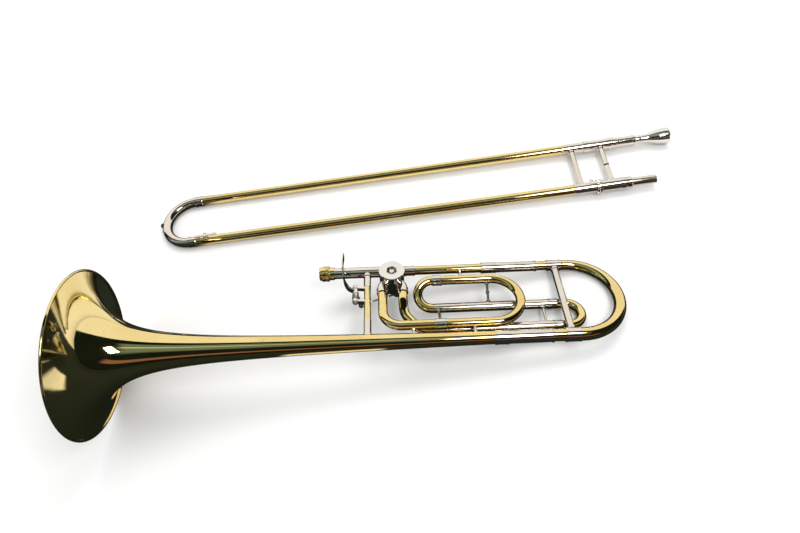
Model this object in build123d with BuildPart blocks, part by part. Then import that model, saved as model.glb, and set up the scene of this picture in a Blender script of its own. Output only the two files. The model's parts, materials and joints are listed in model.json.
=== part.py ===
from build123d import *
from math import asin, atan2, cos, degrees, hypot, pi, radians, sin
import os

os.makedirs("parts", exist_ok=True)

# Trombone with a rotary-valve attachment, in millimetres.
# The bell section is modelled in its own axes: X runs from the bell's mouth to the tuning slide's
# bow along the bell's axis, Y from that axis to the neck's axis, and Z towards the valve's cap.
# The hand slide is modelled in axes of its own: X from its bow to the mouthpiece.
# Both are set down on the floor at the end of the file.

# ---- clearances ----
solder_gap = 0.05        # between a sleeve and the tube soldered into it
running_gap = 0.05       # radial, between a moving piece and what guides it
touch_gap = 0.1          # between a stay's foot and the tube that it stands on
free_gap = 0.4           # between pieces that pass each other

# ---- bell ----
bell_radius = 108.0      # half of an 8 1/2 inch bell
bell_length = 524.0
flare_length = 43.0      # how quickly the flare closes
flare_power = 1.64
body_taper = 0.009       # growth of the bell's radius per millimetre of its body
tail_radius = 8.4
rim_bead = 1.6
sheet = 0.6              # wall of the bell
wall = 0.5               # wall of the tubes

# ---- main tube line ----
line_gap = 122.0         # from the bell's axis to the neck's axis
neck_radius = 6.0        # neck pipe at the valve
neck_end_radius = 6.35   # neck pipe at the tuning slide
receiver_bore = 6.75
receiver_wall = 0.95
receiver_bore_depth = 36.0
receiver_reach = 98.4    # from the receiver's mouth to the rotor's axis
nut_wall = 2.65
nut_length = 13.8
receiver_radius = receiver_bore + receiver_wall

# ---- main tuning slide ----
upper_leg_radius = 6.35
lower_leg_radius = 8.1
sleeve_wall = 0.6
sleeve_length = 65.5
sleeve_start = bell_length + 3.0
sleeve_end = sleeve_start + sleeve_length
slide_out = 15.0         # how far the tuning slide is drawn at rest
leg_overlap = 46.0       # length of leg inside its sleeve at rest
bow_upper_radius = 6.9
bow_lower_radius = 8.7
bow_ferrule_length = 20.5
bow_straight = 4.5       # between the ferrules and the bend
bow_sections = 12        # round sections that shape the tapered bow
brace_radius = 4.8

# ---- valve ----
valve_setback = 135.6    # from the bell's end back to the rotor's axis
valve_x = bell_length - valve_setback
port_reach = 17.6        # from the rotor's axis to each port's end
port_ferrule_length = 10.0
port_offset = 13.7       # from the rotor's axis to the axis of each port's tube
casing_radius = 17.0
rotor_radius = 14.6
rotor_half_height = 8.8
passage_radius = 5.6
passage_bend = 14.4
stem_radius = 3.5
shaft_radius = 3.0
cap_radius = 18.0
cap_hole_radius = 6.2
stop_arm_radius = 8.5    # from the rotor's axis to the pin that the rod pulls
rotor_turn = 90.0

# ---- thumb lever ----
hand_stay_x = valve_x - 34.4
stay_radius = 4.6
lever_x = hand_stay_x - 16.0
lever_z = 2.0
lever_low_y = line_gap - 52.0
lever_high_y = line_gap - 33.0
lever_arm = 27.0         # from the lever's pivot to the rod's joint

# ---- attachment tubing ----
tube_radius = 6.35
loop_z = 4.0             # height of the large loop
run_z = -13.0            # height of the attachment's tuning slide
loop_low_y = 22.4
loop_high_y = line_gap - 24.0
loop_x = valve_x + 133.6         # where the large loop's bend begins
run_high_y = 62.5
run_low_y = 25.6
run_sleeve_end = valve_x + 213.6
run_leg_radius = 5.8
run_bow_x = run_sleeve_end + 21.0
left_bow_x = valve_x + 54.2
ferrule_wall = 0.9

# ---- hand slide ----
slide_gap = 86.0         # between the axes of its two tubes
outer_bore = 7.1
outer_radius = outer_bore + wall
inner_radius = outer_bore - 0.35
end_sleeve_radius = outer_radius + solder_gap + 0.7
slide_bow_x = 52.0
inner_tip_x = slide_bow_x + 30.0
barrel_x = 700.0
barrel_length = 46.0
barrel_bore = end_sleeve_radius + free_gap
barrel_radius = barrel_bore + 0.8
tenon_length = 36.0
cork_length = 4.0
shank_radius = 5.9
shank_depth = 28.0
mouthpiece_length = 80.0
mouthpiece_radius = 12.9
throat_radius = 3.1

# ---- where both lie ----
slide_x = 4.0            # hand slide's bow, from the bell's mouth
slide_y = 285.0          # hand slide's middle, from the bell's axis
rest_roll = -8.5         # the neck side sinks until the bow lies on its edge

casing_y = line_gap - port_offset
bow_ferrule_x = sleeve_end + slide_out
bow_centre_x = bow_ferrule_x + bow_ferrule_length + bow_straight
lower_ferrule_radius = max(lower_leg_radius, bow_lower_radius) + ferrule_wall
upper_ferrule_radius = max(upper_leg_radius, bow_upper_radius) + ferrule_wall
X_DIR = (1, 0, 0)
Y_DIR = (0, 1, 0)
Z_DIR = (0, 0, 1)


# ---------------------------------------------------------------- helpers

def lathe(origin, direction, outline):
    """A turned piece along X or across it: outline holds (distance along the axis, radius) pairs."""
    side = Z_DIR if abs(direction[0]) > 0.5 else X_DIR
    with BuildPart() as turned:
        with BuildSketch(Plane(origin, x_dir=direction, z_dir=side)):
            with BuildLine():
                Polyline(*outline, close=True)
            make_face()
        revolve(axis=Axis(origin, direction))
    return turned


def ring(origin, direction, length, outer, bore):
    """A plain round tube or collar."""
    return lathe(origin, direction, [(0, bore), (length, bore), (length, outer), (0, outer)])


def edged_ring(origin, direction, length, outer, bore, edge=0.5):
    """A collar with bevelled outer edges."""
    return lathe(origin, direction, [
        (0, bore), (length, bore), (length, outer - edge), (length - edge, outer),
        (edge, outer), (0, outer - edge)])


def ferrule(x, y, z, length, left_radius, right_radius, thickness):
    """A soldered sleeve along X over the ends of two tubes, as thick as stated over the larger."""
    left = left_radius + solder_gap
    right = right_radius + solder_gap
    outer = max(left_radius, right_radius) + thickness
    bore = [(0, left), (length, right)]
    if left_radius != right_radius:
        bore = [(0, left), (length / 2, left), (length / 2, right), (length, right)]
    return lathe((x, y, z), X_DIR, bore + [
        (length, outer - 0.35), (length - 0.7, outer), (length - 2.2, outer),
        (length - 2.6, outer - 0.3), (2.6, outer - 0.3), (2.2, outer), (0.7, outer),
        (0, outer - 0.35)])


def outer_sleeve(x, y, z, length, leg_radius):
    """The fixed outer tube of a tuning slide, with a beaded end at its right."""
    bore = leg_radius + running_gap
    outside = bore + sleeve_wall
    bead = outside + 0.8
    return lathe((x, y, z), X_DIR, [
        (0, bore), (length, bore), (length, bead - 0.3), (length - 0.4, bead), (length - 1.6, bead),
        (length - 2.0, outside), (0, outside)])


def bent_tube(points, radii, outer):
    """A tube along straight runs joined by arcs."""
    with BuildPart() as bent:
        with BuildLine() as route:
            FilletPolyline(*points, radius=radii)
        with BuildSketch(Plane(route.line @ 0, z_dir=route.line % 0)):
            Circle(outer)
            Circle(outer - wall, mode=Mode.SUBTRACT)
        sweep()
    return bent


def cross_stay(x, low, high, rod, low_tube, high_tube, foot, foot_height, bead=0.0):
    """A stay between two tubes along X; low and high are the (y, z) places of their axes."""
    reach = hypot(high[0] - low[0], high[1] - low[1])
    up = (0, (high[0] - low[0]) / reach, (high[1] - low[1]) / reach)
    low_cut = low_tube + touch_gap
    high_cut = high_tube + touch_gap
    low_foot = low_cut + foot_height
    high_foot = reach - high_cut - foot_height
    outline = [(0, 0), (0, foot), (low_foot, foot), (low_foot + foot - rod, rod)]
    if bead:
        middle = (low_foot + high_foot) / 2
        outline += [(middle - bead, rod), (middle - bead / 2, bead), (middle + bead / 2, bead),
                    (middle + bead, rod)]
    outline += [(high_foot - foot + rod, rod), (high_foot, foot), (reach, foot), (reach, 0)]
    with BuildPart() as stay:
        add(lathe((x, *low), up, outline).part)
        for place, cut in ((low, low_cut), (high, high_cut)):
            with BuildSketch(Plane((x - 2 * foot, *place), z_dir=X_DIR)):
                Circle(cut)
            extrude(amount=4 * foot, mode=Mode.SUBTRACT)
    return stay


def horn_radius(x):
    """Outer radius of the bell at a distance from its mouth."""
    mouth = bell_radius - 2 * rim_bead - solder_gap
    far = (flare_length / (flare_length + bell_length)) ** flare_power
    here = (flare_length / (flare_length + x)) ** flare_power
    straight = tail_radius + body_taper * (bell_length - x)
    return straight + (mouth - tail_radius - body_taper * bell_length) * (here - far) / (1 - far)


def horn_slope(x):
    return (horn_radius(x + 0.05) - horn_radius(x)) / 0.05


def group(*builders):
    """Several separate pieces under one name."""
    with BuildPart() as members:
        for builder in builders:
            add(builder.part)
    return members


pieces = []


def keep(name, builder, assembly):
    """Name a finished piece and note which assembly it lies in."""
    builder.part.label = name
    pieces.append((name, builder, assembly))


# ---------------------------------------------------------------- bell and main tube line

horn_places = [bell_length * (step / 16) ** 2.2 for step in range(17)]
horn_outside = [(x, horn_radius(x)) for x in horn_places]
horn_inside = []
for place in horn_places:
    tilt = horn_slope(place)
    lean = hypot(1, tilt)
    horn_inside.append((place + sheet * tilt / lean, horn_radius(place) - sheet / lean))

with BuildPart() as bell:
    with BuildSketch(Plane.XY):
        with BuildLine():
            outside = Spline(*horn_outside)
            inside = Spline(*horn_inside)
            Line(outside @ 0, inside @ 0)
            Line(outside @ 1, inside @ 1)
        make_face()
    revolve(axis=Axis.X)
keep("bell", bell, "horn")

with BuildPart() as rim:
    with BuildSketch(Plane.XY):
        with Locations((0, bell_radius - rim_bead)):
            Circle(rim_bead)
    revolve(axis=Axis.X)
keep("bell_rim_bead", rim, "horn")

lower_sleeve_radius = lower_leg_radius + running_gap + sleeve_wall
upper_sleeve_radius = upper_leg_radius + running_gap + sleeve_wall
keep("tuning_slide_sleeves", group(
    outer_sleeve(sleeve_start, 0, 0, sleeve_length, lower_leg_radius),
    outer_sleeve(sleeve_start, line_gap, 0, sleeve_length, upper_leg_radius)), "horn")

neck_start = valve_x + port_reach + solder_gap
bell_ferrule_half = 9.0
neck_ferrule_half = 10.5
sleeve_joint_x = sleeve_start - 1.0
neck_joint_x = sleeve_start - 2.0
keep("body_ferrules", group(
    ferrule(sleeve_joint_x - bell_ferrule_half, 0, 0, 2 * bell_ferrule_half, tail_radius + touch_gap,
            lower_sleeve_radius, ferrule_wall),
    ferrule(neck_joint_x - neck_ferrule_half, line_gap, 0, 2 * neck_ferrule_half, neck_end_radius,
            upper_sleeve_radius, ferrule_wall),
    ferrule(neck_start, line_gap, 0, port_ferrule_length + 5, neck_radius + 0.1, neck_radius + 0.1,
            ferrule_wall + 0.3)), "horn")
neck_length = sleeve_start - 3 - neck_start
keep("neck_pipe", lathe((neck_start, line_gap, 0), X_DIR, [
    (0, neck_radius - wall), (neck_length, neck_end_radius - wall),
    (neck_length, neck_end_radius), (0, neck_radius)]), "horn")

receiver_start = valve_x - receiver_reach
receiver_end = valve_x - port_reach - solder_gap
receiver_length = receiver_end - receiver_start
keep("receiver_tube", lathe((receiver_start, line_gap, 0), X_DIR, [
    (0, receiver_bore), (receiver_bore_depth, receiver_bore),
    (receiver_bore_depth + 1, receiver_bore - 0.6), (receiver_length, receiver_bore - 0.6),
    (receiver_length, receiver_radius), (0, receiver_radius)]), "horn")
thread_radius = receiver_radius + 0.5
keep("receiver_collar", lathe((receiver_start, line_gap, 0), X_DIR, [
    (0, receiver_radius + solder_gap), (18, receiver_radius + solder_gap), (18, thread_radius + 0.4),
    (17.4, thread_radius + 0.8), (12, thread_radius + 0.8), (11.4, thread_radius + 0.4),
    (11.2, thread_radius), (0, thread_radius)]), "horn")

nut_bore = thread_radius + running_gap
nut_radius = nut_bore + nut_wall
nut_lip = receiver_bore + 0.4
with BuildPart() as nut:
    add(lathe((receiver_start - 3, line_gap, 0), X_DIR, [
        (0, nut_lip), (2.6, nut_lip), (2.6, nut_bore), (nut_length, nut_bore),
        (nut_length, nut_radius - 0.8), (nut_length - 0.8, nut_radius), (9.2, nut_radius),
        (8.6, nut_radius - 0.9), (7.6, nut_radius - 0.9), (7.0, nut_radius), (4.4, nut_radius),
        (3.8, nut_radius - 1.2), (1.0, nut_radius - 1.6), (0, nut_radius - 2.4)]).part)
    with BuildSketch(Plane((receiver_start + 6, line_gap, 0), z_dir=X_DIR)):
        with PolarLocations(nut_radius + 0.35, 30):
            Circle(0.7)
    extrude(amount=nut_length, mode=Mode.SUBTRACT)
keep("receiver_lock_nut", nut, "horn")

# ---------------------------------------------------------------- hand stay

stay_low_y = 37.0
stay_high_y = line_gap - 29.1
socket = stay_radius + 0.35
whole_stay = cross_stay(hand_stay_x, (0, 0), (line_gap, 0), socket, horn_radius(hand_stay_x - socket),
                        receiver_radius, socket + 0.9, 1.6)


def slice_of(builder, x, low_y, high_y):
    """The stretch of a stay between two places along Y."""
    with BuildPart() as cut:
        add(builder.part)
        with Locations((x, (low_y + high_y) / 2, 0)):
            Box(40, high_y - low_y, 40, mode=Mode.INTERSECT)
    return cut


keep("hand_stay_sockets", group(slice_of(whole_stay, hand_stay_x, 0, stay_low_y),
                                slice_of(whole_stay, hand_stay_x, stay_high_y, line_gap)), "horn")
keep("hand_stay_bar", ring((hand_stay_x, stay_low_y + solder_gap, 0), Y_DIR,
                           stay_high_y - stay_low_y - 2 * solder_gap, stay_radius, 1.5), "horn")

# ---------------------------------------------------------------- rotary valve

casing_bore = rotor_radius + running_gap
casing_low = -15.0
casing_high = 13.0
plate_low = rotor_half_height + 0.2
cap_low = 8.2
cap_high = 17.5
valve_centre = (valve_x, casing_y)
port_angles = (45, 135, 225, 315)

with BuildPart() as casing:
    add(lathe((*valve_centre, 0), Z_DIR, [
        (casing_low, shaft_radius + running_gap), (-plate_low, shaft_radius + running_gap),
        (-plate_low, casing_bore), (casing_high, casing_bore), (casing_high, casing_radius - 0.6),
        (cap_low - 0.2, casing_radius - 0.6), (cap_low - 0.2, casing_radius),
        (casing_low + 1, casing_radius), (casing_low, casing_radius - 1)]).part)
    for angle in port_angles:
        outward = (cos(radians(angle)), sin(radians(angle)), 0)
        with BuildSketch(Plane((*valve_centre, 0), z_dir=outward)):
            Circle(passage_radius + 0.4)
        extrude(amount=casing_radius + 3, mode=Mode.SUBTRACT)
keep("valve_casing", casing, "horn")

inner_reach = 5.0
with BuildPart() as knuckles:
    for across, down in ((-1, 1), (1, 1), (-1, -1), (1, -1)):
        if down > 0:
            mouth = (valve_x + across * port_reach, casing_y + port_offset)
        else:
            mouth = (valve_x + across * port_offset, casing_y - port_reach)
        corner = (valve_x + across * port_offset, casing_y + down * port_offset)
        centre = (valve_x + across * inner_reach, casing_y + down * inner_reach)
        with BuildLine() as route:
            FilletPolyline(mouth, corner, centre, radius=7.5)
        with BuildSketch(Plane(route.line @ 0, z_dir=route.line % 0)):
            Circle(passage_radius + 1.2)
            Circle(passage_radius + 0.4, mode=Mode.SUBTRACT)
        sweep()
    with BuildSketch(Plane.XY):
        with Locations(valve_centre):
            Circle(casing_radius + solder_gap)
    extrude(amount=12, both=True, mode=Mode.SUBTRACT)
keep("valve_knuckles", knuckles, "horn")

with BuildPart() as rotor:
    add(lathe((*valve_centre, 0), Z_DIR, [
        (-20.6, 0), (-20.6, shaft_radius), (-rotor_half_height, shaft_radius),
        (-rotor_half_height, rotor_radius), (rotor_half_height, rotor_radius),
        (rotor_half_height, stem_radius), (16.0, stem_radius), (16.4, stem_radius - 0.4),
        (16.4, 0)]).part)
    for down in (-1, 1):
        far = 20.0
        with BuildLine() as passage:
            FilletPolyline((valve_x - far, casing_y + down * far), valve_centre,
                           (valve_x + far, casing_y + down * far), radius=passage_bend)
        with BuildSketch(Plane(passage.line @ 0, z_dir=passage.line % 0)):
            Circle(passage_radius)
        sweep(mode=Mode.SUBTRACT)
    with Locations((*valve_centre, 16.4)):
        Box(1.3, 3 * stem_radius, 2.4, mode=Mode.SUBTRACT)
keep("valve_rotor", rotor, "horn")

keep("bearing_plate", ring((*valve_centre, plate_low), Z_DIR, 3, rotor_radius,
                           stem_radius + running_gap), "horn")
keep("valve_cap", lathe((*valve_centre, 0), Z_DIR, [
    (cap_low, casing_radius - 0.6 + solder_gap), (casing_high + 0.1, casing_radius - 0.6 + solder_gap),
    (casing_high + 0.1, cap_hole_radius), (cap_high - 1.2, cap_hole_radius),
    (cap_high, cap_hole_radius + 1.2), (cap_high, cap_radius - 1.6), (cap_high - 0.5, cap_radius - 0.5),
    (cap_high - 1.6, cap_radius), (cap_low, cap_radius)]), "horn")

# ---------------------------------------------------------------- stop arm, bumpers and rod

half_turn = radians(rotor_turn / 2)
half_throw = asin(stop_arm_radius * sin(half_turn) / lever_arm)
joint_x = lever_x + lever_arm * sin(half_throw)
joint_z = lever_z - lever_arm * cos(half_throw)
pin_place = (valve_x + stop_arm_radius * sin(half_turn), casing_y - stop_arm_radius * cos(half_turn))
arm_angle = -90 + rotor_turn / 2
tail_reach = 10.0
tail_radius_end = 2.6
bumper_radius = 2.5
arm_high = -17.6
arm_low = -20.6
eye_half = 1.5
pin_radius = 1.5

slot_length = stop_arm_radius + tail_reach
slot_middle = (stop_arm_radius - tail_reach) / 2
arm_cos = cos(radians(arm_angle))
arm_sin = sin(radians(arm_angle))
with BuildPart() as stop_arm:
    with BuildSketch(Plane.XY.offset(arm_low)):
        with Locations(valve_centre):
            Circle(5.5)
        with Locations((valve_x + slot_middle * arm_cos, casing_y + slot_middle * arm_sin)):
            SlotCenterToCenter(slot_length, 2 * tail_radius_end, rotation=arm_angle)
        with Locations(valve_centre):
            Circle(shaft_radius + solder_gap, mode=Mode.SUBTRACT)
    extrude(amount=arm_high - arm_low)
keep("stop_arm", stop_arm, "horn")

arm_pin = lathe((*pin_place, 0), Z_DIR, [
    (arm_low - solder_gap, 0), (arm_low - solder_gap, pin_radius), (joint_z - 3.3, pin_radius),
    (joint_z - 3.3, 2.6), (joint_z - 4.3, 2.6), (joint_z - 4.7, 2.1), (joint_z - 4.7, 0)])
arm_screw = lathe((*valve_centre, 0), Z_DIR, [
    (arm_low - solder_gap, 0), (arm_low - solder_gap, 3.4), (arm_low - 1.0, 3.4),
    (arm_low - 1.5, 2.8), (arm_low - 1.5, 0)])
keep("stop_arm_screws", group(arm_pin, arm_screw), "horn")
keep("bumper_plate", ring((*valve_centre, casing_low - 1.7), Z_DIR, 1.65, 13.4, 7.0), "horn")

bumper_swing = 2 * degrees(asin((tail_radius_end + bumper_radius + 0.25) / (2 * tail_reach)))
with BuildPart() as bumpers:
    with BuildSketch(Plane.XY.offset(casing_low - 1.75)):
        for angle in (arm_angle + 180 + bumper_swing, arm_angle + 180 - rotor_turn - bumper_swing):
            with Locations((valve_x + tail_reach * cos(radians(angle)),
                            casing_y + tail_reach * sin(radians(angle)))):
                Circle(bumper_radius)
    extrude(amount=-4.6)
keep("stop_bumpers", bumpers, "horn")

eye_y = lever_high_y - 5.5
eye_play = stop_arm_radius * (1 - cos(half_turn)) / 2 + 0.3
far_eye = (pin_place[0], casing_y - stop_arm_radius * (1 + cos(half_turn)) / 2)
near_point = (joint_x + 2.6, eye_y + eye_half)
rod_run = (far_eye[0] - near_point[0], far_eye[1] - near_point[1])
rod_span = hypot(*rod_run)
far_eye_radius = pin_radius + eye_play + 1.9
with BuildPart() as rod:
    add(ring((joint_x, eye_y, joint_z), Y_DIR, 2 * eye_half, 3.4, pin_radius + running_gap).part)
    with BuildSketch(Plane((*near_point, joint_z), z_dir=(*rod_run, 0))):
        Circle(1.3)
    extrude(amount=rod_span - far_eye_radius + 0.6)
    add(ring((*far_eye, joint_z - eye_half), Z_DIR, 2 * eye_half, far_eye_radius,
             pin_radius + eye_play).part)
keep("linkage_rod", rod, "horn")

# ---------------------------------------------------------------- thumb lever

screw_radius = 1.9
sleeve_radius = 3.4
bracket_thickness = 3.6
arm_y = eye_y - free_gap / 2 - 3.0
paddle_curve = [(-2.8, -36.0), (-8.0, -33.4), (-13.6, -27.5), (-16.6, -16.0), (-17.8, 0.0), (-16.6, 19.0)]
paddle_outline = [(-39.0, -1.4), (-32.0, -1.4), (-22.0, 5.0), (-14.0, 9.6), (16.0, 9.6), (20.5, 13.0),
                  (20.5, 20.5), (16.0, 24.5), (-10.0, 24.5), (-23.0, 19.0), (-32.0, 9.0), (-39.0, 5.4)]
with BuildPart() as lever:
    with BuildSketch(Plane.XY.offset(-10)):
        with BuildLine():
            Spline(*[(lever_x + x, line_gap + y) for x, y in paddle_curve])
        trace(line_width=1.7)
    extrude(amount=50)
    with BuildSketch(Plane.YZ.offset(lever_x - 40)):
        with BuildLine():
            FilletPolyline(*[(line_gap + y, z) for y, z in paddle_outline], close=True, radius=2.4)
        make_face()
    extrude(amount=60, mode=Mode.INTERSECT)
    with BuildSketch(Plane.XZ.offset(-arm_y - 3.0)):
        with Locations((lever_x, lever_z)):
            Circle(sleeve_radius + 0.8)
        with Locations((joint_x, joint_z)):
            Circle(3.4)
        with Locations(((lever_x + joint_x) / 2, (lever_z + joint_z) / 2)):
            Rectangle(5.0, lever_arm, rotation=degrees(half_throw))
        with Locations((joint_x, joint_z)):
            Circle(pin_radius + solder_gap, mode=Mode.SUBTRACT)
    extrude(amount=3.0)
    add(ring((lever_x, lever_low_y, lever_z), Y_DIR, lever_high_y - lever_low_y, sleeve_radius,
             0.5).part)
    with BuildSketch(Plane.XZ.offset(-lever_low_y + 5)):
        with Locations((lever_x, lever_z)):
            Circle(screw_radius + running_gap)
    extrude(amount=-40, mode=Mode.SUBTRACT)
keep("thumb_lever", lever, "horn")

with BuildPart() as bracket:
    for low_y in (lever_low_y - 0.2 - bracket_thickness, lever_high_y + 0.2):
        with BuildSketch(Plane.XZ.offset(-low_y)):
            with Locations((lever_x, lever_z)):
                Circle(4.2)
            with BuildLine():
                Polyline((lever_x, lever_z + 2.8), (hand_stay_x, 3.2), (hand_stay_x, -3.2),
                         (lever_x, lever_z - 2.8), close=True)
            make_face()
            with Locations((hand_stay_x, 0)):
                Circle(stay_radius + solder_gap, mode=Mode.SUBTRACT)
            with Locations((lever_x, lever_z)):
                Circle(screw_radius + solder_gap, mode=Mode.SUBTRACT)
        extrude(amount=-bracket_thickness)
keep("lever_bracket", bracket, "horn")

screw_low = lever_low_y - bracket_thickness - 0.3
screw_high = lever_high_y + bracket_thickness + 0.3
keep("lever_pivot_screw", lathe((lever_x, 0, lever_z), Y_DIR, [
    (screw_low - 2.4, 0), (screw_low - 2.4, 2.8), (screw_low, 2.8), (screw_low, screw_radius),
    (screw_high, screw_radius), (screw_high, 3.4), (screw_high + 1.8, 3.4), (screw_high + 2.4, 2.8),
    (screw_high + 2.4, 0)]), "horn")
keep("linkage_screw", lathe((joint_x, 0, joint_z), Y_DIR, [
    (arm_y - 1.2, 0), (arm_y - 1.2, 2.4), (arm_y - solder_gap, 2.4), (arm_y - solder_gap, pin_radius),
    (eye_y + 2 * eye_half + 0.2, pin_radius), (eye_y + 2 * eye_half + 0.2, 2.6),
    (eye_y + 2 * eye_half + 1.4, 2.6), (eye_y + 2 * eye_half + 1.4, 0)]), "horn")

spring_turns = 5
spring_pitch = 1.1
with BuildPart() as lever_spring:
    with BuildLine():
        Helix(pitch=spring_pitch, height=spring_turns * spring_pitch, radius=sleeve_radius + 0.9,
              center=(lever_x, lever_low_y + 2, lever_z), direction=Y_DIR)
    with BuildSketch(Plane((lever_x + sleeve_radius + 0.9, lever_low_y + 2, lever_z), z_dir=(0, 0, -1))):
        Circle(0.35)
    sweep(is_frenet=True)
keep("lever_spring", lever_spring, "horn")

# ---------------------------------------------------------------- attachment tubing

crook_start = casing_y - port_reach - 2 * solder_gap
port_low = crook_start - port_ferrule_length
outlet_x = valve_x - port_offset
return_x = valve_x + port_offset
low_joint_x = valve_x + 61.6
upper_joint_x = valve_x + 61.9
low_ferrule_length = 15.6
upper_ferrule_length = 12.6

with BuildPart() as port_ferrules:
    for x in (outlet_x, return_x):
        add(edged_ring((x, port_low, 0), Y_DIR, port_ferrule_length, tube_radius + 1.5,
                       tube_radius + solder_gap, 0.8).part)
keep("valve_port_ferrules", port_ferrules, "horn")

crook_drop = port_low - run_low_y
crook_bend_y = port_low - crook_drop * 8 / 55
crook_lean_y = run_low_y + crook_drop * 25 / 55
outlet_bends = [crook_drop * 80 / 55, crook_drop * 25 / 55]
return_bends = [crook_drop * 30 / 55, crook_drop * 24 / 55, crook_drop * 26 / 55]
keep("outlet_crook", bent_tube([
    (outlet_x, crook_start, 0), (outlet_x, crook_bend_y, 0), (outlet_x, loop_low_y, loop_z),
    (low_joint_x - solder_gap, loop_low_y, loop_z)], outlet_bends, tube_radius), "horn")
keep("return_crook", bent_tube([
    (return_x, crook_start, 0), (return_x, crook_bend_y, 0),
    (return_x + 0.8, crook_lean_y, 0.55 * run_z), (return_x + 22, run_low_y, run_z),
    (low_joint_x - solder_gap, run_low_y, run_z)], return_bends, tube_radius), "horn")

loop_radius = (loop_high_y - loop_low_y) / 2
with BuildPart() as loop:
    with BuildLine(Plane.XY.offset(loop_z)) as route:
        Line((low_joint_x + solder_gap, loop_low_y), (loop_x, loop_low_y))
        CenterArc((loop_x, loop_low_y + loop_radius), loop_radius, -90, 180)
        Line((loop_x, loop_high_y), (upper_joint_x + solder_gap, loop_high_y))
    with BuildSketch(Plane((low_joint_x + solder_gap, loop_low_y, loop_z), z_dir=X_DIR)):
        Circle(tube_radius)
        Circle(tube_radius - wall, mode=Mode.SUBTRACT)
    sweep()
keep("large_loop", loop, "horn")

run_sleeve_radius = run_leg_radius + running_gap + sleeve_wall
loop_ferrule_wall = ferrule_wall + 0.2
loop_ferrule_radius = tube_radius + loop_ferrule_wall
keep("attachment_ferrules", group(
    ferrule(low_joint_x - low_ferrule_length / 2, loop_low_y, loop_z, low_ferrule_length,
            tube_radius, tube_radius, loop_ferrule_wall),
    ferrule(upper_joint_x - upper_ferrule_length / 2, loop_high_y, loop_z, upper_ferrule_length,
            tube_radius, tube_radius, loop_ferrule_wall),
    ferrule(low_joint_x - 6, run_low_y, run_z, 12, tube_radius, run_sleeve_radius,
            ferrule_wall)), "horn")

high_end = (loop_high_y, loop_z)
low_end = (run_high_y, run_z)
left_bow_span = hypot(high_end[0] - low_end[0], high_end[1] - low_end[1])
left_bow_radius = left_bow_span / 2
across_bow = (0, (high_end[0] - low_end[0]) / left_bow_span, (high_end[1] - low_end[1]) / left_bow_span)
left_bow_plane = Plane((left_bow_x, (high_end[0] + low_end[0]) / 2, (high_end[1] + low_end[1]) / 2),
                       x_dir=X_DIR, z_dir=(0, -across_bow[2], across_bow[1]))
run_sleeve_start = left_bow_x + 2.0
with BuildPart() as left_bow:
    with BuildLine(left_bow_plane) as route:
        Line((upper_joint_x - solder_gap - left_bow_x, left_bow_radius), (0, left_bow_radius))
        CenterArc((0, 0), left_bow_radius, 90, 180)
        Line((0, -left_bow_radius), (run_sleeve_start - solder_gap - left_bow_x, -left_bow_radius))
    with BuildSketch(Plane((upper_joint_x - solder_gap, *high_end), z_dir=(-1, 0, 0))):
        Circle(tube_radius)
        Circle(tube_radius - wall, mode=Mode.SUBTRACT)
    sweep()
keep("left_bow", left_bow, "horn")

keep("attachment_slide_sleeves", group(
    outer_sleeve(run_sleeve_start, run_high_y, run_z, run_sleeve_end - run_sleeve_start,
                 run_leg_radius),
    outer_sleeve(low_joint_x + solder_gap, run_low_y, run_z,
                 run_sleeve_end - low_joint_x - solder_gap, run_leg_radius)), "horn")

sleeve_stay = cross_stay(run_sleeve_end - 10, (run_low_y, run_z), (run_high_y, run_z), 1.6,
                         run_sleeve_radius, run_sleeve_radius, 2.8, 0.9)
loop_stay = cross_stay(loop_x - 3, (run_high_y, run_z), (loop_high_y, loop_z), 1.6, run_sleeve_radius,
                       tube_radius, 3.0, 0.9, bead=2.5)
loop_post = cross_stay(low_joint_x, (loop_low_y, loop_z), (run_high_y, run_z), 1.9,
                       loop_ferrule_radius, run_sleeve_radius, 2.9, 0.9)
neck_stay = cross_stay(valve_x + 95.6, (loop_high_y, loop_z), (line_gap, 0), 1.8, tube_radius,
                       neck_end_radius, 3.6, 0.9)
bell_stay_foot = 3.2
bell_stays = [cross_stay(x, (0, 0), (loop_low_y, loop_z), 2.0, horn_radius(x - bell_stay_foot),
                         tube_radius, bell_stay_foot, 0.7) for x in (valve_x + 25.3, valve_x + 105.1)]
keep("attachment_stays", group(sleeve_stay, loop_stay, loop_post, neck_stay, *bell_stays), "horn")

# ---------------------------------------------------------------- attachment tuning slide

run_ferrule_x = run_sleeve_end + free_gap
run_ferrule_length = 10.0
run_bow_tube = run_leg_radius + 0.3
run_bow_radius = (run_high_y - run_low_y) / 2
run_joint_x = run_ferrule_x + run_ferrule_length / 2
run_leg_length = 75.0
with BuildPart() as run_legs:
    for y in (run_low_y, run_high_y):
        add(ring((run_joint_x - run_leg_length - solder_gap, y, run_z), X_DIR, run_leg_length,
                 run_leg_radius, run_leg_radius - wall).part)
keep("attachment_slide_legs", run_legs, "horn")

with BuildPart() as run_ferrules:
    for y in (run_low_y, run_high_y):
        add(ferrule(run_ferrule_x, y, run_z, run_ferrule_length, run_leg_radius, run_bow_tube,
                    ferrule_wall).part)
keep("attachment_slide_ferrules", run_ferrules, "horn")

with BuildPart() as run_bow:
    with BuildLine(Plane.XY.offset(run_z)) as route:
        Line((run_joint_x + solder_gap, run_low_y), (run_bow_x, run_low_y))
        CenterArc((run_bow_x, run_low_y + run_bow_radius), run_bow_radius, -90, 180)
        Line((run_bow_x, run_high_y), (run_joint_x + solder_gap, run_high_y))
    with BuildSketch(Plane((run_joint_x + solder_gap, run_low_y, run_z), z_dir=X_DIR)):
        Circle(run_bow_tube)
        Circle(run_bow_tube - wall, mode=Mode.SUBTRACT)
    sweep()
keep("attachment_slide_bow", run_bow, "horn")

# ---------------------------------------------------------------- main tuning slide

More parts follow.
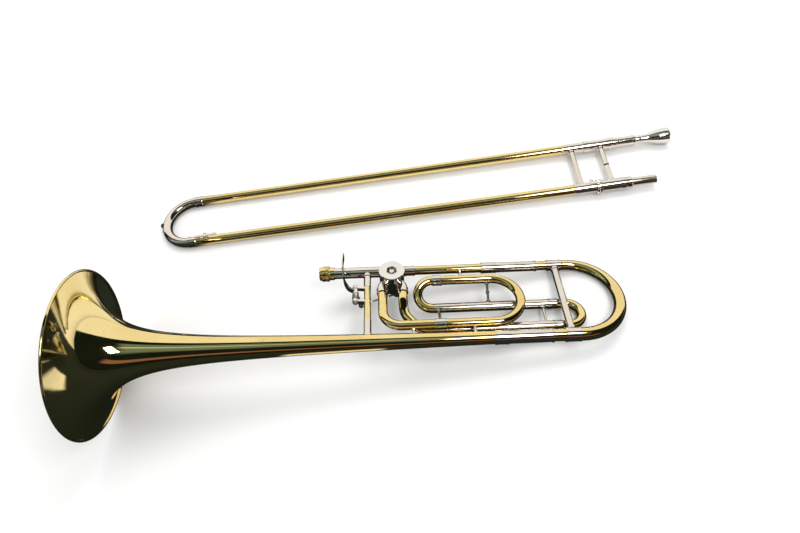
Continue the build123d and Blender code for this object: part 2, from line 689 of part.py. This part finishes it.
bow_joint_x = bow_ferrule_x + bow_ferrule_length / 2
leg_start = sleeve_end - leg_overlap
leg_length = bow_joint_x - solder_gap - leg_start
bow_radius = line_gap / 2

with BuildPart() as main_legs:
    for y, radius in ((0, lower_leg_radius), (line_gap, upper_leg_radius)):
        add(ring((leg_start, y, 0), X_DIR, leg_length, radius, radius - wall).part)
keep("tuning_slide_legs", main_legs, "horn")

keep("tuning_slide_ferrules", group(*[
    ferrule(bow_ferrule_x, y, 0, bow_ferrule_length, leg, bow_end, ferrule_wall)
    for y, leg, bow_end in ((0, lower_leg_radius, bow_lower_radius),
                            (line_gap, upper_leg_radius, bow_upper_radius))]), "horn")

with BuildPart() as main_bow:
    for shrink, how in ((0, Mode.ADD), (wall, Mode.SUBTRACT)):
        for step in range(bow_sections + 1):
            share = step / bow_sections
            turn = pi * share
            radius = bow_upper_radius + (bow_lower_radius - bow_upper_radius) * share - shrink
            place = (bow_centre_x + bow_radius * sin(turn), bow_radius + bow_radius * cos(turn), 0)
            with BuildSketch(Plane(place, x_dir=Z_DIR, z_dir=(cos(turn), -sin(turn), 0))):
                Circle(radius)
        loft(mode=how)
    for y, radius in ((0, bow_lower_radius), (line_gap, bow_upper_radius)):
        add(ring((bow_joint_x + solder_gap, y, 0), X_DIR, bow_centre_x - bow_joint_x - solder_gap,
                 radius, radius - wall).part)
keep("tuning_slide_bow", main_bow, "horn")

brace_joint_y = line_gap - 31.0
whole_brace = cross_stay(bow_joint_x, (0, 0), (line_gap, 0), brace_radius, lower_ferrule_radius,
                         upper_ferrule_radius, brace_radius + 0.7, 1.4)
keep("tuning_slide_brace", slice_of(whole_brace, bow_joint_x, 0, brace_joint_y), "horn")
keep("tuning_brace_socket", slice_of(whole_brace, bow_joint_x, brace_joint_y + solder_gap,
                                     line_gap), "horn")

# ---------------------------------------------------------------- hand slide: inner slide

half_gap = slide_gap / 2
barrel_end = barrel_x + barrel_length
cork_x = barrel_x + 13.6
stocking_length = 120.0
stocking_radius = outer_bore - running_gap
receiver_tip = barrel_end + shank_depth + 8.0
shank_end = receiver_tip - shank_depth

with BuildPart() as inner_tubes:
    for y in (-half_gap, half_gap):
        add(lathe((inner_tip_x, y, 0), X_DIR, [
            (0, inner_radius - wall), (barrel_end - inner_tip_x, inner_radius - wall),
            (barrel_end - inner_tip_x, inner_radius), (stocking_length + 2, inner_radius),
            (stocking_length, stocking_radius), (0, stocking_radius)]).part)
keep("inner_slide_tubes", inner_tubes, "slide")

with BuildPart() as barrels:
    for y in (-half_gap, half_gap):
        add(lathe((barrel_x, y, 0), X_DIR, [
            (0, barrel_bore), (18, barrel_bore), (18, inner_radius + solder_gap),
            (barrel_length, inner_radius + solder_gap), (barrel_length, barrel_radius - 0.8),
            (barrel_length - 1.5, barrel_radius), (barrel_length - 8, barrel_radius),
            (barrel_length - 9, barrel_radius - 0.6), (9, barrel_radius - 0.6), (9, barrel_radius),
            (0, barrel_radius)]).part)
keep("cork_barrels", barrels, "slide")

with BuildPart() as corks:
    for y in (-half_gap, half_gap):
        add(ring((cork_x + free_gap, y, 0), X_DIR, cork_length - free_gap, barrel_bore - 0.1,
                 inner_radius + 0.1).part)
keep("slide_corks", corks, "slide")

keep("grip_brace", cross_stay(barrel_x + 26, (-half_gap, 0), (half_gap, 0), 4.4,
                              barrel_radius - 0.6, barrel_radius - 0.6, 5.2, 1.6, bead=5.0), "slide")

keep("mouthpiece_receiver", lathe((barrel_end + solder_gap, half_gap, 0), X_DIR, [
    (0, shank_radius - 1.0), (shank_end - barrel_end - 2, shank_radius - 1.0),
    (shank_end - barrel_end - 2, shank_radius - 0.45), (receiver_tip - barrel_end, shank_radius + 0.05),
    (receiver_tip - barrel_end, 7.6), (receiver_tip - barrel_end - 1, 8.3),
    (receiver_tip - barrel_end - 5, 8.3), (receiver_tip - barrel_end - 6, 7.5),
    (6, 7.9), (5, 8.9), (0, 8.9)]), "slide")

tenon_radius = receiver_bore - running_gap
keep("slide_tenon", lathe((barrel_end + solder_gap, -half_gap, 0), X_DIR, [
    (0, tenon_radius - 1.1), (tenon_length + 8, tenon_radius - 1.1), (tenon_length + 8, tenon_radius),
    (8, tenon_radius), (8, 8.2), (7, 9.0), (0, 9.0)]), "slide")

lock_radius = barrel_radius + running_gap
lock_length = 8.0
hook_length = 9.0
hook_width = 3.0
with BuildPart() as lock_ring:
    add(edged_ring((barrel_x + 0.5, -half_gap, 0), X_DIR, lock_length, lock_radius + 1.5,
                   lock_radius, 0.5).part)
    with BuildSketch(Plane((barrel_x + 0.5, -half_gap, 0), z_dir=X_DIR)):
        with PolarLocations(lock_radius + 1.5, 24):
            Circle(0.4)
    extrude(amount=lock_length - 3, mode=Mode.SUBTRACT)
    with BuildSketch(Plane((barrel_x - hook_length, -half_gap, 0), x_dir=Y_DIR, z_dir=X_DIR)):
        with Locations((0, lock_radius + 0.75)):
            Rectangle(4.0, 1.5)
    extrude(amount=hook_length + 1)
    with BuildSketch(Plane((barrel_x - hook_length, -half_gap, 0), x_dir=Y_DIR, z_dir=X_DIR)):
        with Locations((4.0, lock_radius + 0.75)):
            Rectangle(8.0, 1.5)
    extrude(amount=hook_width)
keep("slide_lock_ring", lock_ring, "slide")

# ---------------------------------------------------------------- hand slide: mouthpiece

keep("mouthpiece", lathe((shank_end, half_gap, 0), X_DIR, [
    (0, shank_radius - 1.2), (0, shank_radius - 0.5), (shank_depth, shank_radius),
    (shank_depth + 5, shank_radius + 0.3), (shank_depth + 6, shank_radius + 1.1),
    (shank_depth + 8, shank_radius + 1.1), (shank_depth + 9, shank_radius + 0.4),
    (mouthpiece_length - 32, mouthpiece_radius - 5.4), (mouthpiece_length - 24, mouthpiece_radius - 3.2),
    (mouthpiece_length - 16, mouthpiece_radius - 1.1), (mouthpiece_length - 9, mouthpiece_radius - 0.2),
    (mouthpiece_length - 4, mouthpiece_radius), (mouthpiece_length - 1.4, mouthpiece_radius),
    (mouthpiece_length, mouthpiece_radius - 1), (mouthpiece_length - 0.6, mouthpiece_radius - 1.9),
    (mouthpiece_length - 4, mouthpiece_radius - 2.6), (mouthpiece_length - 10, mouthpiece_radius - 3.5),
    (mouthpiece_length - 18, mouthpiece_radius - 5.1), (mouthpiece_length - 24, mouthpiece_radius - 7.7),
    (mouthpiece_length - 28, throat_radius + 0.1), (mouthpiece_length - 36, throat_radius)]), "slide")

# ---------------------------------------------------------------- hand slide: outer slide

outer_end = barrel_x + 13.0
end_sleeve_length = 45.0
tube_start = slide_bow_x + 6.0
bow_tube_radius = outer_radius - 0.2

with BuildPart() as outer_tubes:
    for y in (-half_gap, half_gap):
        add(ring((tube_start + solder_gap, y, 0), X_DIR, outer_end - tube_start - solder_gap,
                 outer_radius, outer_bore).part)
keep("outer_slide_tubes", outer_tubes, "slide")

stub_angle = 50.0        # from straight up, towards the other tube
stub_radius = 1.2
stub_x = barrel_x - hook_length + hook_width + free_gap + stub_radius
with BuildPart() as end_sleeves:
    for y in (-half_gap, half_gap):
        add(edged_ring((outer_end - end_sleeve_length, y, 0), X_DIR, end_sleeve_length,
                       end_sleeve_radius, outer_radius + solder_gap, 0.4).part)
    stub_direction = (0, sin(radians(stub_angle)), cos(radians(stub_angle)))
    stub_foot = (stub_x, -half_gap + (outer_radius + 0.3) * stub_direction[1],
                 (outer_radius + 0.3) * stub_direction[2])
    with BuildSketch(Plane(stub_foot, z_dir=stub_direction)):
        Circle(stub_radius)
    extrude(amount=lock_radius + 1.8 - outer_radius - 0.3)
keep("outer_end_sleeves", end_sleeves, "slide")

keep("outer_brace", cross_stay(barrel_x - 20, (-half_gap, 0), (half_gap, 0), 4.4,
                               end_sleeve_radius, end_sleeve_radius, 5.2, 1.6), "slide")

with BuildPart() as slide_bow:
    with BuildLine() as route:
        Line((tube_start - solder_gap, half_gap), (slide_bow_x, half_gap))
        CenterArc((slide_bow_x, 0), half_gap, 90, 180)
        Line((slide_bow_x, -half_gap), (tube_start - solder_gap, -half_gap))
    with BuildSketch(Plane((tube_start - solder_gap, half_gap, 0), z_dir=(-1, 0, 0))):
        Circle(bow_tube_radius)
        Circle(bow_tube_radius - wall, mode=Mode.SUBTRACT)
    sweep()
keep("hand_slide_bow", slide_bow, "slide")

slide_ferrule_length = 14.0
with BuildPart() as slide_ferrules:
    for y in (-half_gap, half_gap):
        add(ferrule(tube_start - slide_ferrule_length / 2, y, 0, slide_ferrule_length,
                    bow_tube_radius, outer_radius, ferrule_wall).part)
keep("hand_slide_ferrules", slide_ferrules, "slide")

tip_x = slide_bow_x - half_gap - bow_tube_radius
with BuildPart() as tip:
    add(lathe((tip_x + 3.0, 0, 0), (-1, 0, 0), [
        (0, 0), (0, 4.2), (5.0, 4.2), (6.5, 3.4), (7.4, 1.8), (7.6, 0)]).part)
    with BuildSketch(Plane.XZ):
        with Locations((slide_bow_x - half_gap, 0)):
            Circle(bow_tube_radius + solder_gap)
    revolve(axis=Axis((slide_bow_x, 0, 0), Z_DIR), mode=Mode.SUBTRACT)
keep("slide_rubber_tip", tip, "slide")

# ---------------------------------------------------------------- hand slide: water key

key_y = -half_gap
nipple_x = tube_start + 12.0
hinge_x = nipple_x + 13.0
hinge_z = outer_radius + 5.2
nipple_top = outer_radius + 2.0
cork_top = nipple_top + 2.4
with BuildPart() as nipple:
    with BuildSketch(Plane.XY):
        with Locations((nipple_x, key_y)):
            Circle(3.3)
            Circle(1.5, mode=Mode.SUBTRACT)
    extrude(amount=nipple_top)
    with BuildSketch(Plane((nipple_x - 5, key_y, 0), z_dir=X_DIR)):
        Circle(outer_radius + solder_gap)
    extrude(amount=10, mode=Mode.SUBTRACT)
saddle_half = 3.6
with BuildPart() as saddle:
    with BuildSketch(Plane.XZ.offset(-key_y - saddle_half)):
        with Locations((hinge_x, hinge_z)):
            Circle(2.4)
        with Locations((hinge_x, hinge_z / 2)):
            Rectangle(4.8, hinge_z)
        with Locations((hinge_x, hinge_z)):
            Circle(0.8 + solder_gap, mode=Mode.SUBTRACT)
    extrude(amount=2 * saddle_half)
    with Locations((hinge_x, key_y, hinge_z)):
        Box(6, 2 * saddle_half - 3, 9.2, mode=Mode.SUBTRACT)
    with BuildSketch(Plane((hinge_x - 5, key_y, 0), z_dir=X_DIR)):
        Circle(outer_radius + solder_gap)
    extrude(amount=10, mode=Mode.SUBTRACT)
keep("water_key_fittings", group(nipple, saddle), "slide")

keep("water_key_screw", lathe((hinge_x, key_y, hinge_z), Y_DIR, [
    (-saddle_half - 0.9, 0), (-saddle_half - 0.9, 1.6), (-saddle_half - solder_gap, 1.6),
    (-saddle_half - solder_gap, 0.8), (saddle_half + 0.6, 0.8), (saddle_half + 0.6, 0)]), "slide")

key_half = saddle_half - 1.5 - 0.25
with BuildPart() as water_key:
    with BuildSketch(Plane.XZ.offset(-key_y - key_half)):
        with Locations((hinge_x, hinge_z)):
            Circle(2.1)
        with BuildLine():
            Polyline((nipple_x - 3.4, cork_top), (hinge_x, cork_top), (hinge_x + 20, cork_top + 2.2),
                     (hinge_x + 20, cork_top + 3.4), (hinge_x, cork_top + 1.4),
                     (nipple_x - 3.4, cork_top + 1.4), close=True)
        make_face()
        with Locations((hinge_x, hinge_z)):
            Circle(0.8 + running_gap, mode=Mode.SUBTRACT)
    extrude(amount=2 * key_half)
keep("water_key", water_key, "slide")

keep("water_key_cork", ring((nipple_x, key_y, nipple_top + 0.02), Z_DIR, cork_top - nipple_top - 0.04,
                            3.0, 0.2), "slide")

# ---------------------------------------------------------------- lying on the floor

def set_down(assembly, turn):
    """Turn an assembly and lower it until its lowest point is on the floor."""
    members = [builder.part for name, builder, kind in pieces if kind == assembly]
    for member in members:
        member.locate(turn)
    drop = min(member.bounding_box().min.Z for member in members)
    return Location((0, 0, -drop)) * turn


bow_sink = 0.92 * line_gap * sin(radians(-rest_roll)) + bow_upper_radius
rest_pitch = degrees(asin((bell_radius - bow_sink) / (bow_centre_x + 0.67 * bow_radius)))
slide_pitch = degrees(atan2(mouthpiece_radius - outer_radius, shank_end + mouthpiece_length))
rests = {
    "horn": set_down("horn", Rotation(rest_roll, 0, 0) * Rotation(0, rest_pitch, 0)),
    "slide": Location((slide_x, slide_y, 0)) * set_down("slide", Rotation(0, -slide_pitch, 0)),
}
boxes = []
for name, builder, assembly in pieces:
    builder.part.locate(rests[assembly])
    boxes.append(builder.part.bounding_box())
middle_x = (min(box.min.X for box in boxes) + max(box.max.X for box in boxes)) / 2
middle_y = (min(box.min.Y for box in boxes) + max(box.max.Y for box in boxes)) / 2
to_middle = Location((-middle_x, -middle_y, 0))
for name, builder, assembly in pieces:
    builder.part.locate(to_middle * rests[assembly])
    export_step(builder.part, f"parts/{name}.step")
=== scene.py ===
import json
import math

import bpy
from mathutils import Matrix, Vector


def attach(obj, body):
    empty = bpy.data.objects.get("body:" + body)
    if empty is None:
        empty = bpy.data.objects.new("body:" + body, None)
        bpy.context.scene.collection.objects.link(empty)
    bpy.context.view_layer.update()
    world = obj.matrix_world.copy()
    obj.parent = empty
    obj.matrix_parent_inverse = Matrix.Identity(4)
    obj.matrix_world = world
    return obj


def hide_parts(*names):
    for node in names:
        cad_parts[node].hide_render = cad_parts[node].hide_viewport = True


# The looks of the trombone: finer meshes for its bell and rim, metal finishes, a pale floor, studio
# light and the camera. The bell's sizes are in millimetres in the horn's own axes (X from the bell's
# mouth along its axis, Y towards the neck, Z towards the valve's cap), as in the CAD source. The
# studio's places are in metres in the row frame.

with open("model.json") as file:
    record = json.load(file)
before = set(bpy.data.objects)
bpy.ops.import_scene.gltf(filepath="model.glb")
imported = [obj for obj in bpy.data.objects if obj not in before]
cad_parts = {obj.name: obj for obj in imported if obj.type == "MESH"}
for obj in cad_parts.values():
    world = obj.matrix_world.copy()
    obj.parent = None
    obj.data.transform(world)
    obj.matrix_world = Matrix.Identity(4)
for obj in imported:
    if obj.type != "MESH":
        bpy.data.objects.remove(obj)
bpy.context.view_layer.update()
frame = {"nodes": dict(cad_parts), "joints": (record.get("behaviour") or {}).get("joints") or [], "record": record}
nodes = frame["nodes"]
joints = {joint["name"]: joint for joint in frame["joints"]}

MM = 0.001

# ---------------------------------------------------------------- the horn's axes

VALVE_X = 388.4
VALVE_Y = 108.3


def own_frame(x_axis, y_axis, anchor, anchor_place):
    """Matrix from an assembly's own millimetres to the row frame's metres."""
    x = Vector(x_axis).normalized()
    y = Vector(y_axis).normalized()
    z = x.cross(y)
    turn = Matrix((x, y, z)).transposed()
    origin = Vector(anchor) - turn @ (Vector(anchor_place) * MM)
    return Matrix.Translation(origin) @ (turn * MM).to_4x4()


horn = own_frame(joints["tuning_slide_draw"]["axis"], joints["thumb_lever_press"]["axis"],
                 joints["rotor_turn"]["pos_m"], (VALVE_X, VALVE_Y, 0))

# ---------------------------------------------------------------- mesh builders


def new_mesh(name, points, faces, matrix):
    """A smooth-shaded object whose points are given in an assembly's own millimetres."""
    mesh = bpy.data.meshes.new(name)
    mesh.from_pydata([matrix @ Vector(point) for point in points], [], faces)
    mesh.validate()
    made = bpy.data.objects.new(name, mesh)
    bpy.context.scene.collection.objects.link(made)
    for polygon in mesh.polygons:
        polygon.use_smooth = True
    return made


def rings_to_faces(count, around, closed):
    """Quads between neighbouring rings of points; closed also joins the last ring to the first."""
    faces = []
    for ring in range(count if closed else count - 1):
        after = (ring + 1) % count
        for step in range(around):
            beside = (step + 1) % around
            faces.append((ring * around + step, ring * around + beside,
                          after * around + beside, after * around + step))
    return faces


def lathe(name, profile, around, matrix):
    """A closed outline of (distance, radius) pairs turned about the horn's X axis."""
    points = []
    for x, radius in profile:
        for step in range(around):
            turn = 2 * math.pi * step / around
            points.append((x, radius * math.cos(turn), radius * math.sin(turn)))
    return new_mesh(name, points, rings_to_faces(len(profile), around, True), matrix)


# ---------------------------------------------------------------- the bell

BELL_RADIUS = 108.0
BELL_LENGTH = 524.0
FLARE_LENGTH = 43.0
FLARE_POWER = 1.64
BODY_TAPER = 0.009
TAIL_RADIUS = 8.4
RIM_BEAD = 1.6
RIM_GAP = 0.05
SHEET = 0.6


def horn_radius(x):
    mouth = BELL_RADIUS - 2 * RIM_BEAD - RIM_GAP
    far = (FLARE_LENGTH / (FLARE_LENGTH + BELL_LENGTH)) ** FLARE_POWER
    here = (FLARE_LENGTH / (FLARE_LENGTH + x)) ** FLARE_POWER
    straight = TAIL_RADIUS + BODY_TAPER * (BELL_LENGTH - x)
    return straight + (mouth - TAIL_RADIUS - BODY_TAPER * BELL_LENGTH) * (here - far) / (1 - far)


BELL_STEPS = 150
BELL_CROWDING = 2.2      # how much closer together the rings are towards the mouth
AROUND = 256
RIM_STEPS = 24
SLOPE_STEP = 0.05
outside = []
inside = []
for step in range(BELL_STEPS + 1):
    place = BELL_LENGTH * (step / BELL_STEPS) ** BELL_CROWDING
    slope = (horn_radius(place + SLOPE_STEP) - horn_radius(place)) / SLOPE_STEP
    lean = math.hypot(1, slope)
    outside.append((place, horn_radius(place)))
    inside.append((place + SHEET * slope / lean, horn_radius(place) - SHEET / lean))
bell = lathe("bell_surface", outside + inside[::-1], AROUND, horn)
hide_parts("bell")
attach(bell, "bell_section")

rim_outline = []
for step in range(RIM_STEPS):
    turn = 2 * math.pi * step / RIM_STEPS
    rim_outline.append((-RIM_BEAD * math.cos(turn), BELL_RADIUS - RIM_BEAD + RIM_BEAD * math.sin(turn)))
rim = lathe("bell_rim", rim_outline, AROUND, horn)
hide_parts("bell_rim_bead")
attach(rim, "bell_section")

# ---------------------------------------------------------------- finishes


def smooth_step(tree, value, low, high, out_low=0.0, out_high=1.0):
    """A value's smooth step from one number to another, falling where low is more than high."""
    made = tree.nodes.new("ShaderNodeMapRange")
    made.interpolation_type = "SMOOTHSTEP"
    made.inputs["From Min"].default_value = low
    made.inputs["From Max"].default_value = high
    made.inputs["To Min"].default_value = out_low
    made.inputs["To Max"].default_value = out_high
    tree.links.new(value, made.inputs["Value"])
    return made.outputs["Result"]


def blended(tree, share, first, second):
    """A colour between two, each a tuple or a socket, by a share from 0 to 1."""
    made = tree.nodes.new("ShaderNodeMix")
    made.data_type = "RGBA"
    tree.links.new(share, made.inputs["Factor"])
    for value, socket in ((first, made.inputs["A"]), (second, made.inputs["B"])):
        if isinstance(value, tuple):
            socket.default_value = (*value, 1)
        else:
            tree.links.new(value, socket)
    return made.outputs["Result"]


def combined(tree, first, second, how):
    """The sum or product of two sockets."""
    made = tree.nodes.new("ShaderNodeMath")
    made.operation = how
    tree.links.new(first, made.inputs[0])
    tree.links.new(second, made.inputs[1])
    return made.outputs["Value"]


def split_axes(tree, vector):
    """The X, Y and Z of a vector socket."""
    made = tree.nodes.new("ShaderNodeSeparateXYZ")
    tree.links.new(vector, made.inputs["Vector"])
    return made.outputs


def share_inside(tree, along, edges):
    """1 inside all of the edges, each an axis, where the share starts and how far on it is whole."""
    inside = None
    for axis, edge, width in edges:
        step = smooth_step(tree, along[axis], edge, edge + width)
        inside = step if inside is None else combined(tree, inside, step, "MULTIPLY")
    return inside


class Finish:
    """A node material under construction, with short calls for the nodes it needs."""

    def __init__(self, name):
        self.material = bpy.data.materials.new(name)
        self.material.use_nodes = True
        self.tree = self.material.node_tree
        self.shader = self.tree.nodes["Principled BSDF"]
        self.place = self.tree.nodes.new("ShaderNodeTexCoord").outputs["Object"]

    def link(self, start, end):
        self.tree.links.new(start, end)

    def noise(self, scale, detail=4.0, roughness=0.55, stretch=None, distortion=0.0):
        source = self.place
        if stretch:
            mapping = self.tree.nodes.new("ShaderNodeMapping")
            mapping.inputs["Scale"].default_value = stretch
            self.link(source, mapping.inputs["Vector"])
            source = mapping.outputs["Vector"]
        made = self.tree.nodes.new("ShaderNodeTexNoise")
        made.inputs["Scale"].default_value = scale
        made.inputs["Detail"].default_value = detail
        made.inputs["Roughness"].default_value = roughness
        made.inputs["Distortion"].default_value = distortion
        self.link(source, made.inputs["Vector"])
        return made.outputs["Fac"]

    def spread(self, value, low, high, out_low=0.0, out_high=1.0):
        return smooth_step(self.tree, value, low, high, out_low, out_high)

    def blend(self, share, first, second):
        return blended(self.tree, share, first, second)

    def bump(self, height, strength, distance):
        made = self.tree.nodes.new("ShaderNodeBump")
        made.inputs["Strength"].default_value = strength
        made.inputs["Distance"].default_value = distance
        self.link(height, made.inputs["Height"])
        self.link(made.outputs["Normal"], self.shader.inputs["Normal"])


def metal(name, light, deep, stain, stain_share, rough_low, rough_high, coat=0.0):
    """Polished metal: two tints, a few stains, and hazy patches and fine scratches in its gloss."""
    made = Finish(name)
    tint = made.blend(made.spread(made.noise(9.0, 3.0), 0.35, 0.65), light, deep)
    spots = made.spread(made.noise(70.0, 5.0, 0.6, distortion=0.6), 0.62, 0.74, 0.0, stain_share)
    made.link(made.blend(spots, tint, stain), made.shader.inputs["Base Color"])
    haze = made.spread(made.noise(22.0, 5.0, 0.62), 0.38, 0.70, rough_low, rough_high)
    scratches = made.spread(made.noise(160.0, 2.0, 0.5, stretch=(1.0, 9.0, 9.0)), 0.60, 0.72,
                            0.0, 0.05)
    made.link(combined(made.tree, haze, scratches, "ADD"), made.shader.inputs["Roughness"])
    made.bump(made.noise(260.0, 3.0, 0.5), 0.05, 0.0002)
    made.shader.inputs["Metallic"].default_value = 1.0
    made.shader.inputs["Coat Weight"].default_value = coat
    made.shader.inputs["Coat Roughness"].default_value = 0.05
    made.shader.inputs["Coat IOR"].default_value = 1.45
    return made.material


brass = metal("lacquered_brass", (0.92, 0.75, 0.36), (0.87, 0.67, 0.28), (0.50, 0.27, 0.10),
              0.30, 0.035, 0.09, coat=0.35)
nickel = metal("nickel_silver", (0.84, 0.79, 0.73), (0.78, 0.72, 0.65), (0.48, 0.40, 0.30),
               0.30, 0.06, 0.14)
silver = metal("silver_plate", (0.88, 0.87, 0.84), (0.82, 0.80, 0.76), (0.52, 0.46, 0.36),
               0.25, 0.10, 0.20)
steel = metal("steel", (0.58, 0.57, 0.55), (0.50, 0.49, 0.47), (0.30, 0.24, 0.18), 0.3, 0.22, 0.36)

rubber = Finish("rubber")
rubber.link(rubber.blend(rubber.noise(120.0, 4.0), (0.018, 0.018, 0.018), (0.045, 0.042, 0.040)),
            rubber.shader.inputs["Base Color"])
rubber.link(rubber.spread(rubber.noise(60.0, 4.0), 0.3, 0.7, 0.5, 0.75),
            rubber.shader.inputs["Roughness"])
rubber.bump(rubber.noise(900.0, 3.0), 0.2, 0.0003)

cork = Finish("cork")
grain = cork.spread(cork.noise(500.0, 5.0, 0.65), 0.40, 0.66)
flecks = cork.spread(cork.noise(900.0, 2.0, 0.5), 0.60, 0.70)
cork.link(cork.blend(flecks, cork.blend(grain, (0.62, 0.40, 0.22), (0.45, 0.27, 0.13)),
                     (0.16, 0.08, 0.035)), cork.shader.inputs["Base Color"])
cork.link(cork.spread(grain, 0.0, 1.0, 0.7, 0.85), cork.shader.inputs["Roughness"])
cork.bump(grain, 0.4, 0.0004)

finishes = {"lacquered_brass": brass, "nickel_silver": nickel, "silver_plate": silver,
            "steel": steel, "rubber": rubber.material, "cork": cork.material}
for part in frame["record"]["subparts"]:
    node = nodes[part["node"]]
    node.data.materials.clear()
    node.data.materials.append(finishes[part["material_slot"]])
for made in (bell, rim):
    made.data.materials.append(brass)

# ---------------------------------------------------------------- floor, light and camera


def in_reflections(tree):
    """1 on the rays that polished metal reflects, 0 on all others."""
    return tree.nodes.new("ShaderNodeLightPath").outputs["Is Glossy Ray"]


# The floor is pale to the eye. In the metal it shows a painted reflection: painted dark, but for two pale painted
# patches, one behind and one in front.
FLOOR_PALE = (0.86, 0.86, 0.85)
FLOOR_DEEP = (0.82, 0.82, 0.81)
FLOOR_PAINTED_REFLECTION_DARK = (0.012, 0.018, 0.015)
# Painted reflection: the pale colour and the places of two patches painted into the floor's reflection, one behind
# and one in front.
FLOOR_PAINTED_REFLECTION_PALE = (0.72, 0.71, 0.68)
FLOOR_PAINTED_REFLECTION_BEHIND = (("Y", 0.095, 0.02), ("X", -0.35, 0.03))
FLOOR_PAINTED_REFLECTION_FRONT = (("X", -0.20, 0.02), ("X", -0.04, -0.02), ("Y", -0.235, 0.02), ("Y", -0.14, -0.02))

bpy.ops.mesh.primitive_circle_add(vertices=96, radius=8.0, fill_type="NGON")
floor = bpy.context.object
floor.name = "floor"
floor_finish = Finish("floor")
seen_floor = floor_finish.blend(floor_finish.noise(1.5, 3.0), FLOOR_PALE, FLOOR_DEEP)
# Painted reflection: in glossy rays the floor's colour is painted near-black, with the pale painted patches laid
# over it.
painted_floor_reflection = FLOOR_PAINTED_REFLECTION_DARK
floor_axes = split_axes(floor_finish.tree, floor_finish.place)
for patch in (FLOOR_PAINTED_REFLECTION_BEHIND, FLOOR_PAINTED_REFLECTION_FRONT):
    painted_floor_reflection = floor_finish.blend(share_inside(floor_finish.tree, floor_axes, patch),
                                        painted_floor_reflection, FLOOR_PAINTED_REFLECTION_PALE)
floor_finish.link(floor_finish.blend(in_reflections(floor_finish.tree), seen_floor, painted_floor_reflection),
                  floor_finish.shader.inputs["Base Color"])
floor_finish.shader.inputs["Roughness"].default_value = 0.85
floor_finish.shader.inputs["Specular IOR Level"].default_value = 0.1
floor.data.materials.append(floor_finish.material)


# The wall, the strip with a line in it, and the panel, as shares of a direction's length along the
# row frame's axes.
WALL = (("Y", 0.375, 0.02),)
STRIP = (("Y", -0.60, 0.20), ("Y", 0.16, -0.04), ("X", 0.55, -0.20), ("Z", 0.02, 0.28))
LINE = STRIP + (("Y", -0.20, 0.04), ("Y", -0.07, -0.04))
PANEL = (("Y", -0.55, -0.15), ("Z", 0.26, 0.04), ("Z", 0.48, -0.04))
ROOM_DARK = (0.006, 0.010, 0.008)
ROOM_COLOURS = ((STRIP, (0.16, 0.23, 0.20)), (PANEL, (0.27, 0.12, 0.085)),
                (LINE, (0.62, 0.64, 0.55)), (WALL, (0.98, 0.95, 0.89)))
ROOM_PALE = (0.93, 0.94, 0.96)


def studio_world():
    """Pale to the eye; in the metal, a dark room with a white wall, a dim strip and a warm panel."""
    world = bpy.data.worlds.new("studio")
    world.use_nodes = True
    tree = world.node_tree
    along = split_axes(tree, tree.nodes.new("ShaderNodeTexCoord").outputs["Generated"])
    mirrored = ROOM_DARK
    for edges, colour in ROOM_COLOURS:
        mirrored = blended(tree, share_inside(tree, along, edges), mirrored, colour)
    seen = blended(tree, in_reflections(tree), ROOM_PALE, mirrored)
    tree.links.new(seen, tree.nodes["Background"].inputs["Color"])
    return world


bpy.context.scene.world = studio_world()
bpy.context.scene.view_settings.view_transform = "Standard"


def softbox(name, place, target, width, height, power, colour):
    """A rectangular area light at a place, aimed at a target, both in metres in the row frame."""
    lamp = bpy.data.lights.new(name, "AREA")
    lamp.shape = "RECTANGLE"
    lamp.size = width
    lamp.size_y = height
    lamp.energy = power
    lamp.color = colour
    made = bpy.data.objects.new(name, lamp)
    bpy.context.scene.collection.objects.link(made)
    made.location = place
    made.rotation_euler = (Vector(target) - Vector(place)).to_track_quat("-Z", "Y").to_euler()
    made.visible_camera = False
    return made


key_light = softbox("key", (0.3, 1.2, 2.2), (0, 0, 0), 1.6, 1.0, 22, (1.0, 0.97, 0.92))
key_light.visible_glossy = False
softbox("small_front", (0.55, -0.52, 1.27), (-0.36, -0.14, 0.14), 0.55, 0.30, 6.0, (1.0, 0.99, 0.97))

# The lens and the camera's place and turn, in the horn's axes.
FOCAL_SHARE = 610 / 800            # focal length, as a share of the picture's width
YAW = math.radians(1.279)
PITCH = math.radians(46.734)
ROLL = math.radians(1.296)
CAMERA_PLACE = Vector((387.25, -464.23, 632.82))
level = Vector((math.sin(YAW), math.cos(YAW), 0))
right = Vector((math.cos(YAW), -math.sin(YAW), 0))
forward = math.cos(PITCH) * level + Vector((0, 0, -math.sin(PITCH)))
down = forward.cross(right)
rolled_right = math.cos(ROLL) * right + math.sin(ROLL) * down
rolled_down = -math.sin(ROLL) * right + math.cos(ROLL) * down
to_row = (horn.to_3x3() * (1 / MM)).to_3x3()
turn = Matrix((to_row @ rolled_right, to_row @ -rolled_down, to_row @ -forward)).transposed()
lens = bpy.data.cameras.new("camera")
lens.sensor_width = 36.0
lens.lens = FOCAL_SHARE * lens.sensor_width
lens.clip_start = 0.01
lens.clip_end = 50
camera = bpy.data.objects.new("camera", lens)
bpy.context.scene.collection.objects.link(camera)
camera.matrix_world = Matrix.Translation(horn @ CAMERA_PLACE) @ turn.to_4x4()
bpy.context.scene.camera = camera
